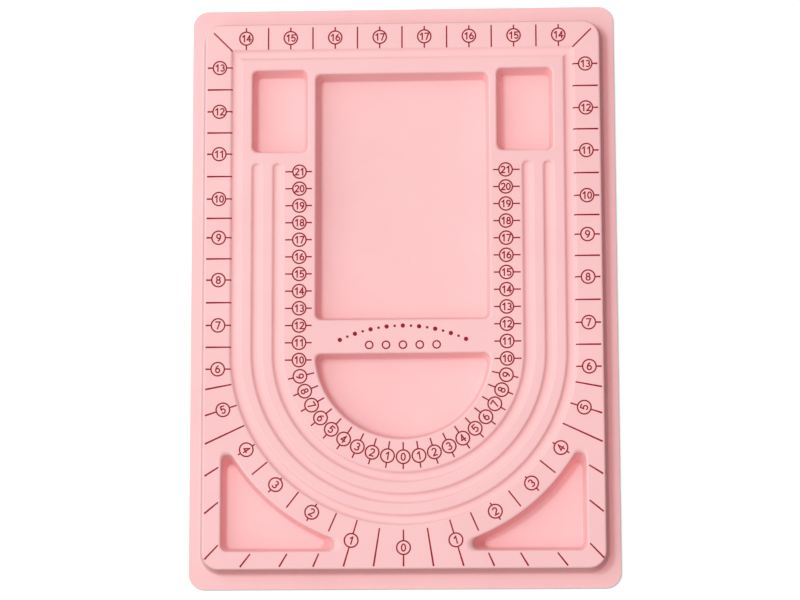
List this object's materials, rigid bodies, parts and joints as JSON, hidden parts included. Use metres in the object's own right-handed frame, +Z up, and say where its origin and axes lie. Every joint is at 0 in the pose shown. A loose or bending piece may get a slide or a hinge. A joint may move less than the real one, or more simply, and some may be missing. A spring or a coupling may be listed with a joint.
{
  "type": "bead board",
  "caption": "Flat rectangular bead design board, a flocked formed sheet with sorting trays, a half-round bowl and nested U-shaped grooves for laying out beads.",
  "frame": {"origin": "centre of the board's outline, on the plane that it rests on", "axes": "+X to the right and +Y away from the user along the board's length, towards the rectangular trays, +Z up out of the flocked face"},
  "size_m": [0.245, 0.337, 0.013],
  "materials": {
    "sheet": "thin vacuum-formed polystyrene sheet, dull pink",
    "flock": "short dense pink flock, velvet-like, printed scales"
  },
  "bodies": {
    "root": {"formed_sheet": "sheet", "flock_coat": "flock"}
  },
  "joints": []
}
